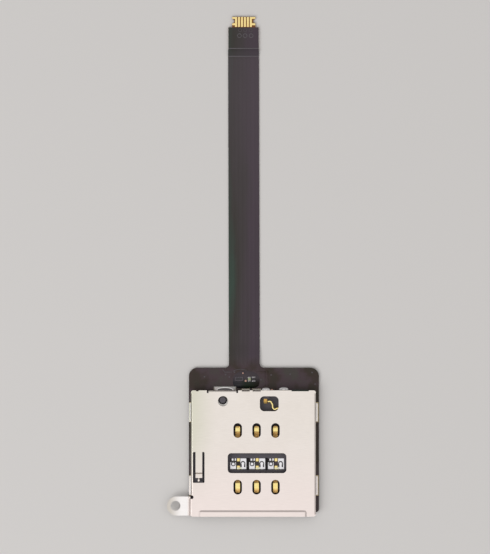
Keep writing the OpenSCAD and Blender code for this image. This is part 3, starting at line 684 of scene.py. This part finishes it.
CORNER_Y = 8.50
WEST, EAST = -4.88, -2.82
SLICES = 16
crescent = block("solder_crescent", (WEST, CORNER_Y, FOOT_TOP), (EAST, CORNER_Y + 0.25, FOOT_TOP + 0.18))
choose(crescent, "verts", lambda p, n: p.y > CORNER_Y + 0.2 and p.z > FOOT_TOP + 0.1)
slide(0, 0, -0.165)
for step in range(1, SLICES):
    cut(crescent, (WEST + (EAST - WEST) * step / SLICES, 0, 0), (1, 0, 0))
for step in range(SLICES + 1):
    at = WEST + (EAST - WEST) * step / SLICES
    size = max(0.12, math.sqrt(1 - 0.985 * (2 * step / SLICES - 1) ** 2))
    choose(crescent, "verts", lambda p, n: abs(p.x - at) < 0.002)
    stretch((1, size, size), (at, CORNER_Y, FOOT_TOP))
# The dark tin on the crescent is painted shade in the fold.
finish_piece(crescent, dark_solder)

FOOT_FILM = 0.52
arc = raised_ring("solder_arc", (-3.84, CORNER_Y, FOOT_FILM), (1.17, 0.435), 0.15, 0.10, 0.03)
cut(arc, (0, CORNER_Y + 0.002, 0), (0, -1, 0), clear=True)
finish_piece(arc, solder)

for name, west, east, finish in (("left", -5.25, -3.20, dull_solder), ("right", -3.22, -2.43, grey_solder)):
    slab(f"solder_wash_{name}", (west, CORNER_Y + 0.02, FOOT_FILM), (east, 8.92, FOOT_FILM + 0.022),
         0.018, 3, finish)
print("slices of the crescent:", SLICES)

# %% [markdown]
# ## Head of the lever's post
# The lever is held on its post by the post's head, which is pressed hot until its rim
# spreads. The head is a low cap: its top is inset and its rim slopes down. The rim is near
# black, painted shade in the gap between the post and the lever.

# %% Head of the post
POST_X, POST_Y, HEAD_LOW, HEAD_HIGH = -4.13, 7.20, 1.385, 1.485
HEAD_RADIUS, RIM_WIDTH, RIM_FALL = 0.60, 0.19, 0.08


def from_post(p):
    """How far a place lies from the post's axis, seen from above."""
    return math.hypot(p.x - POST_X, p.y - POST_Y)


def paint_chosen(piece, base, other):
    """Gives the piece its base finish, and the selected faces the other one."""
    piece.data.materials.append(base)
    piece.data.materials.append(other)
    piece.active_material_index = 1
    bpy.ops.object.material_slot_assign()


cap = start_piece("post_head", "cylinder", (POST_X, POST_Y, (HEAD_LOW + HEAD_HIGH) / 2), vertices=48,
                  radius=HEAD_RADIUS * MM, depth=(HEAD_HIGH - HEAD_LOW) * MM)
choose(cap, "faces", lambda p, n: n.z > 0.99)
inset(RIM_WIDTH)
rim_down = choose(cap, "verts", lambda p, n: p.z > HEAD_HIGH - 0.01 and from_post(p) > HEAD_RADIUS - 0.05)
slide(0, 0, -RIM_FALL)
choose(cap, "faces", lambda p, n: n.z > 0.99)
bpy.ops.mesh.bevel(offset=0.03 * MM, segments=3, affect="EDGES")
choose(cap, "faces", lambda p, n: n.z > 0.99 and from_post(p) < 0.39)
# The rim keeps the near-black polymer as painted shade; the inset top is plain polymer.
paint_chosen(cap, polymer_in_painted_shade, polymer)
finish_piece(cap, polymer_in_painted_shade, 40)
print("rim vertices lowered:", rim_down)

# %% [markdown]
# ## Solder beads of the card switch
# The two tails of the card switch come out under the cover's rear edge, each in a round
# bead. A bead is a ball squashed over the tail, cut flat below and behind, with its foot
# drawn out where the tin wets the pad. It replaces the plainer CAD bar.

# %% Solder beads
def solder_bead(name, west, east, back, depth, rise):
    """A bead between two x, cut flat behind at y = back and squashed on top."""
    middle = ((west + east) / 2, back + 0.02, BOARD_TOP)
    piece = start_piece(name, "uv_sphere", middle, segments=40, ring_count=24, radius=MM,
                        scale=((east - west) / 2, depth, rise))
    cut(piece, (0, 0, BOARD_TOP), (0, 0, -1), clear=True)
    cut(piece, (0, back, 0), (0, -1, 0), clear=True)
    choose(piece, "verts", lambda p, n: p.z < BOARD_TOP + 0.10 and p.y > back + 0.005)
    stretch((1.05, 1.0, 1.0), middle)
    choose(piece, "verts", lambda p, n: p.z > BOARD_TOP + 0.6 * rise)
    stretch((0.82, 0.9, 0.93), middle)
    return finish_piece(piece, solder, 60)


bead_left = solder_bead("solder_bead_left", 1.10, 2.26, 8.47, 0.36, 0.24)
bead_right = solder_bead("solder_bead_right", 3.45, 4.74, 8.53, 0.37, 0.26)
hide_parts("switch_solder")
print("beads:", bead_left.name, bead_right.name)

# %% [markdown]
# ## Resin drop
# A dropper leaves the resin as a low lens. It ran towards the cover before it cured, so
# its crown sits off the middle: the side towards the tail is a gentle slope that mirrors
# the sky, the side towards the cover is steep and stays dark, and its front edge is
# almost straight. A squashed ball is cut at the film. Its front half is drawn out wedge
# by wedge, and then its rings are slid and lowered one by one, for a thin edge.

# %% Resin drop
DROP_X, DROP_Y = -0.97, 9.93
HALF_X, HALF_Y = 1.80, 1.20
DROP_RISE = 0.45
DROP_SLIDE = 0.42
WEDGES, RINGS_UP = 16, 24
drop = start_piece("resin_drop", "uv_sphere", (DROP_X, DROP_Y, BOARD_TOP), segments=4 * WEDGES,
                   ring_count=2 * RINGS_UP, radius=MM, scale=(HALF_X, HALF_Y, DROP_RISE))
cut(drop, (0, 0, BOARD_TOP), (0, 0, -1), clear=True)
for wedge in range(1, WEDGES):
    turn = math.radians(wedge * 90 / WEDGES)
    grow = (math.cos(turn) ** 4 + math.sin(turn) ** 4) ** -0.25
    choose(drop, "verts", lambda p, n: p.y < DROP_Y and math.hypot(p.x - DROP_X, p.y - DROP_Y) > 0.01 and abs(
        math.atan2((DROP_Y - p.y) / HALF_Y, abs(p.x - DROP_X) / HALF_X) - turn) < 0.02)
    stretch((grow, grow, 1), (DROP_X, DROP_Y, BOARD_TOP))


def ring_height(ring):
    """How high a ring of the ball lies, from 0 at its middle to 1 at its top."""
    return math.sin(math.pi / 2 * ring / RINGS_UP)


for ring in range(1, RINGS_UP + 1):
    level = ring_height(ring)
    lower = ring_height(ring - 0.5)
    upper = ring_height(ring + 0.5) if ring < RINGS_UP else 1.01
    choose(drop, "verts", lambda p, n: lower <= (p.z - BOARD_TOP) / DROP_RISE < upper)
    slide(0, -DROP_SLIDE * level ** 2, DROP_RISE * (level ** 2 - level))
finish_piece(drop, resin, 60)
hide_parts("resin_dome")
print("drop, highest point in mm:", round(max(v.co.z for v in drop.data.vertices) / MM, 3))

# %% [markdown]
# ## Chip parts
# A chip part is a ceramic block with tinned caps on both ends. The caps stand a little
# proud of the ceramic. The block is cut into three, the end bands are fattened and every
# edge is rounded. The larger chip shows its dark glaze inside a lighter frame, a painted
# highlight on its rim.

# %% Chip parts
def capped_chip(name, low, high, cap, ceramic):
    """A ceramic block with tinned caps at its two ends in Y."""
    piece = block(name, low, high)
    south, north = low[1] + cap, high[1] - cap
    for place in (south, north):
        cut(piece, (0, place, 0), (0, 1, 0))
    choose(piece, "faces", lambda p, n: not south < p.y < north and abs(n.y) < 0.5 and n.z > -0.5)
    bpy.ops.mesh.extrude_region_shrink_fatten(TRANSFORM_OT_shrink_fatten={"value": 0.02 * MM})
    choose(piece, "edges", lambda p, n: p.z > low[2] + 0.02)
    bevel(0.012, 2)
    choose(piece, "faces", lambda p, n: not south - 0.008 < p.y < north + 0.008)
    paint_chosen(piece, ceramic, dark_solder)
    return finish_piece(piece, ceramic, 40)


capacitor = capped_chip("green_capacitor", (-0.72, 9.69, BOARD_TOP), (-0.36, 10.31, 0.82), 0.15,
                        green_ceramic)
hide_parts("chip_capacitor")
small_chip = capped_chip("small_resistor", (-0.17, 9.66, BOARD_TOP), (0.26, 10.34, 0.80), 0.17,
                         dark_ceramic)

FRAMED_TOP = 0.77
framed = block("dark_resistor", (-2.47, 9.78, BOARD_TOP), (-1.41, 10.28, FRAMED_TOP))
choose(framed, "faces", lambda p, n: n.z > 0.5)
inset(0.05, -0.015)
# The lighter rim is a painted highlight.
paint_chosen(framed, chip_rim_highlight, dark_ceramic)
choose(framed, "edges", lambda p, n: p.z > FRAMED_TOP - 0.005)
bevel(0.012, 2)
finish_piece(framed, chip_rim_highlight, 40)
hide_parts("chip_resistor")
print("chips:", capacitor.name, small_chip.name, framed.name)

# %% [markdown]
# ## Copper test points
# Two bare copper pins stand in the resin. Each is a short cylinder with its rim rounded
# over and a shallow dimple where a probe touched it.

# %% Copper test points
def dimpled_button(name, x, y, low, high, radius, vertices, rounding, dimple):
    """An upright cylinder in mm with a rounded rim and a dimple in its top."""
    piece = start_piece(name, "cylinder", (x, y, (low + high) / 2), vertices=vertices, radius=radius * MM,
                        depth=(high - low) * MM)
    choose(piece, "faces", lambda p, n: n.z > 0.5)
    bpy.ops.mesh.bevel(offset=rounding * MM, segments=3, affect="EDGES")
    choose(piece, "faces", lambda p, n: n.z > 0.99 and abs(p.z - high) < 0.002)
    inset(dimple, -0.012)
    return piece


pins = []
for name, x, y, radius, top in (("upper", -1.41, 10.79, 0.11, 0.70), ("lower", -1.04, 9.75, 0.14, 0.81)):
    pins.append(dimpled_button(f"test_pin_{name}", x, y, BOARD_TOP, top, radius, 28, 0.025, 0.03))
    finish_piece(pins[-1], bare_copper)
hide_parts("test_points")
print("pins:", [pin.name for pin in pins])

# %% [markdown]
# ## Tracks that show through the film
# The copper tracks lift the coverlay a little where they run: round the chip parts and
# down beside them. Each straight run is a flat bar with its upper edges bevelled round,
# and the runs of one track are joined into one piece.

# %% Track ridges
TRACK_RISE = 0.035


def track(name, points, width, finish):
    """A low rounded ridge along the points (x, y in mm) on the board's film."""
    runs = []
    for (x0, y0), (x1, y1) in zip(points, points[1:]):
        length = math.hypot(x1 - x0, y1 - y0)
        run = start_piece(name, "cube", ((x0 + x1) / 2, (y0 + y1) / 2, BOARD_TOP), size=MM,
                          scale=(length + width * 0.9, width, 2 * TRACK_RISE),
                          rotation=(0, 0, math.atan2(y1 - y0, x1 - x0)))
        choose(run, "edges", lambda p, n: p.z > BOARD_TOP + TRACK_RISE * 0.9)
        bevel(TRACK_RISE * 0.9, 3)
        bpy.ops.object.mode_set(mode="OBJECT")
        runs.append(run)
    for run in runs:
        run.select_set(True)
    bpy.context.view_layer.objects.active = runs[0]
    bpy.ops.object.join()
    bpy.ops.object.mode_set(mode="EDIT")
    finish_piece(runs[0], finish)


# These two tracks are painted lighter: a painted highlight on the ridge.
track("track_over_resin", [(-4.11, 11.26), (-3.87, 10.94), (-2.95, 10.94)], 0.12, coverlay_highlight)
track("track_arc", [(-2.72, 11.06), (-2.30, 11.24), (-1.75, 11.31), (-0.95, 11.20)], 0.11, coverlay_highlight)
track("track_right_inner", [(0.30, 10.95), (1.58, 10.95), (1.58, 9.10)], 0.15, coverlay)
track("track_right_outer", [(1.30, 11.38), (1.95, 11.02), (1.95, 9.10)], 0.15, coverlay)
print("tracks stand proud by", TRACK_RISE, "mm")

# %% [markdown]
# ## Plated holes under the coverlay
# Small plated holes join the two copper layers and show as shallow buttons. One is
# modelled, as a low button with a rounded rim and a dimple, and the others are copies.

# %% Plated holes
VIAS = ((-6.60, 10.29), (-3.75, 10.60), (-3.24, 10.26), (2.40, 10.54), (4.96, 10.64), (1.01, 9.88),
        (7.92, 10.87), (8.33, 9.30), (-2.54, 10.91))


def copy_piece(piece, name, shift):
    """A copy with its own mesh, moved by the shift in mm and fixed there."""
    hold(piece)
    bpy.ops.object.duplicate(linked=False)
    copy = bpy.context.active_object
    copy.name = name
    copy.location = Vector(shift) * MM
    bpy.ops.object.transform_apply(location=True, rotation=False, scale=False)
    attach(copy, "reader")


via = dimpled_button("via_0", *VIAS[0], BOARD_TOP - 0.025, BOARD_TOP + 0.025, 0.11, 24, 0.018, 0.035)
# The buttons are painted lighter: a painted highlight.
finish_piece(via, coverlay_highlight)
for count, (x, y) in enumerate(VIAS[1:], 1):
    copy_piece(via, f"via_{count}", (x - VIAS[0][0], y - VIAS[0][1], 0))
print("plated holes:", len(VIAS))

# %% [markdown]
# ## Conductors along the tail
# Six conductors run the length of the tail and lift its coverlay by about a hundredth of
# a millimetre. The tail steps down from the board and up again at its head, so each rib
# starts as a finely divided strip above it, which a Shrinkwrap drops onto the film. It
# gets a little thickness, and its upper faces are inset and raised together.

# %% Conductor ribs
RIB_FROM, RIB_TO = 11.9, 53.3
RIBS, RIB_PITCH = 6, 0.56
RIB_WIDTH = 0.30
TAIL_X = -1.275
TAIL_LEAN = math.atan2(0.11, 43.0)
for count in range(RIBS):
    middle = Vector((TAIL_X + (count - (RIBS - 1) / 2) * RIB_PITCH, (RIB_FROM + RIB_TO) / 2, 1.2))
    rib = start_piece(f"conductor_rib_{count}", "grid", middle, x_subdivisions=1, y_subdivisions=160, size=MM)
    stretch((RIB_WIDTH, RIB_TO - RIB_FROM, 1), middle)
    bpy.ops.transform.rotate(value=-TAIL_LEAN, orient_axis="Z", center_override=middle * MM)
    bpy.ops.object.mode_set(mode="OBJECT")
    drop_down = rib.modifiers.new("onto_film", "SHRINKWRAP")
    drop_down.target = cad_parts["flex_circuit"]
    drop_down.wrap_method = "PROJECT"
    drop_down.use_project_z = True
    drop_down.use_negative_direction = True
    drop_down.use_positive_direction = False
    bpy.ops.object.modifier_apply(modifier=drop_down.name)
    skin = rib.modifiers.new("thickness", "SOLIDIFY")
    skin.thickness = 0.02 * MM
    skin.offset = -1
    bpy.ops.object.modifier_apply(modifier=skin.name)
    bpy.ops.object.mode_set(mode="EDIT")
    choose(rib, "faces", lambda p, n: n.z > 0.5)
    inset(0.05, 0.010)
    finish_piece(rib, coverlay, 30)
print("last rib's box in mm:", [
    [round(pick(v.co[axis] for v in rib.data.vertices) / MM, 3) for axis in range(3)] for pick in (min, max)])

# %% [markdown]
# ## Creases and rings on the head
# The film steps up onto the head's stiffener between two creases, painted lighter along
# their crests as a painted highlight. Two rows of rings are pressed into the head, the
# upper row fainter, and they are painted lighter too, a painted highlight. Creases are
# thin bars with round tops, and the rings are low raised bands.

# %% Creases and rings
for place, y, base in (("lower", 53.58, TAIL_TOP), ("upper", 54.62, HEAD_TOP)):
    slab(f"crease_{place}", (-3.33, y - 0.06, base - 0.03), (0.67, y + 0.06, base + 0.025),
         0.022, 3, pressed_coverlay, 60)

# Both rows are painted lighter than the film: a painted highlight.
RING_ROWS = ((56.35, (-1.88, -1.12, -0.30), 0.305, 0.10, 0.035, 0.02, pressed_coverlay),
             (57.08, (-1.79, -1.10, -0.36), 0.25, 0.08, 0.03, 0.015, coverlay_highlight))
rings = []
for row, (y, places, radius, width, rise, rounding, finish) in enumerate(RING_ROWS):
    ring = raised_ring(f"head_ring_{3 * row}", (places[0], y, HEAD_TOP - 0.01), (radius, radius),
                       width, rise, rounding)
    rings.append(finish_piece(ring, finish, 60))
for row, ring in enumerate(rings):
    places = RING_ROWS[row][1]
    for count in (1, 2):
        copy_piece(ring, f"head_ring_{3 * row + count}", (places[count] - places[0], 0, 0))
print("rows of rings at y =", [row[0] for row in RING_ROWS])

# %% [markdown]
# ## Solder resist round the ground pads
# In the centre window the tinned pads are masked by black solder resist: a ring and an
# arch, with a notched bar above the ring. Over the end of each lower solder tail lies a
# small fillet of tin, cream from flux. On the webs between the openings lies a thin dark
# sheet, painted shade for the deep, shaded webs. All are modelled for the left column and
# copied to the others, 2.54 mm apart.

# %% Resist and fillets in the centre window
COLUMN = -2.11
PITCH = 2.54
ARCH_Y = -1.41
mask_ring = raised_ring("mask_ring_0", (COLUMN - 0.61, -1.48, PAD_TOP), (0.31, 0.31), 0.13, 0.028, 0.012)
finish_piece(mask_ring, black_resist)

arch = raised_ring("mask_arch_0", (COLUMN + 0.70, ARCH_Y, PAD_TOP), (0.335, 0.335), 0.145, 0.028, 0.012)
cut(arch, (0, ARCH_Y, 0), (0, -1, 0), clear=True)
choose(arch, "faces", lambda p, n: n.y < -0.9 and p.y < ARCH_Y + 0.01)
bpy.ops.mesh.extrude_region_move(TRANSFORM_OT_translate={"value": (0, -0.44 * MM, 0)})
finish_piece(arch, black_resist)

bar = block("mask_bar_0", (COLUMN - 1.00, -1.27, 0.345), (COLUMN - 0.24, -1.08, 0.405))
for x in (COLUMN - 0.78, COLUMN - 0.44):
    cut(bar, (x, 0, 0), (1, 0, 0))
raised = choose(bar, "verts", lambda p, n: p.y > -1.10 and not COLUMN - 0.95 <= p.x <= COLUMN - 0.30)
slide(0, 0.08, 0)
choose(bar, "edges", lambda p, n: p.z > 0.40)
bevel(0.015, 2)
finish_piece(bar, black_resist)


def pillow(name, low, high, corner):
    """A block with round upright corners, its top face selected."""
    piece = block(name, low, high)
    choose(piece, "edges", lambda p, n: abs(n.z) > 0.9)
    bevel(corner, 4)
    choose(piece, "faces", lambda p, n: n.z > 0.9)
    return piece


fillet = pillow("tail_fillet_0", (COLUMN - 0.13, -2.19, 0.36), (COLUMN + 0.50, -1.94, 0.442), 0.05)
bpy.ops.mesh.region_to_loop()
bevel(0.022, 3)
finish_piece(fillet, fluxed_solder)

for column in (1, 2):
    for piece, slot in ((mask_ring, "coverlay"), (arch, "coverlay"), (bar, "coverlay"), (fillet, "tin")):
        copy_piece(piece, piece.name.replace("_0", f"_{column}"), (PITCH * column, 0, 0))

# A thin dark sheet on each web is painted shade.
web = slab("web_skin_0", (COLUMN + 1.20, -2.30, 0.69), (COLUMN + 1.50, -0.62, 0.715), 0.02, 3,
           polymer_in_painted_shade)
copy_piece(web, "web_skin_1", (PITCH, 0, 0))
print("vertices moved at the bar's ends:", raised)

# %% [markdown]
# ## Pads along the cover's rear edge
# Beside the card switch's joints a little bare copper shows, and under the shallow step
# in the cover's edge lies a thin dark green strip. The tray spring ends in a
# narrow steel tip, bent down under the tray.

# %% Small pads and the spring tip
slab("resist_strip", (5.16, 8.34, BOARD_TOP - 0.01), (7.43, 8.56, BOARD_TOP + 0.03), 0.015, 2,
     dark_green_finish)
spot = pillow("copper_spot", (2.32, 8.42, BOARD_TOP - 0.01), (2.66, 8.62, BOARD_TOP + 0.03), 0.06)
inset(0.03, 0.012)
finish_piece(spot, bare_copper)

TIP_TOP, TIP_FALL = 1.295, 0.16
tip = block("spring_tip", (-7.48, -3.80, TIP_TOP - 0.10), (-7.22, -3.26, TIP_TOP))
for y in (-3.36, -3.52):
    cut(tip, (0, y, 0), (0, 1, 0))
choose(tip, "verts", lambda p, n: p.y < -3.51)
slide(0, 0, -TIP_FALL)
choose(tip, "edges", lambda p, n: abs(n.y) > 0.5)
bevel(0.02, 2)
finish_piece(tip, stainless, 40)
print("spring tip ends at z =", round(TIP_TOP - TIP_FALL, 3), "mm")
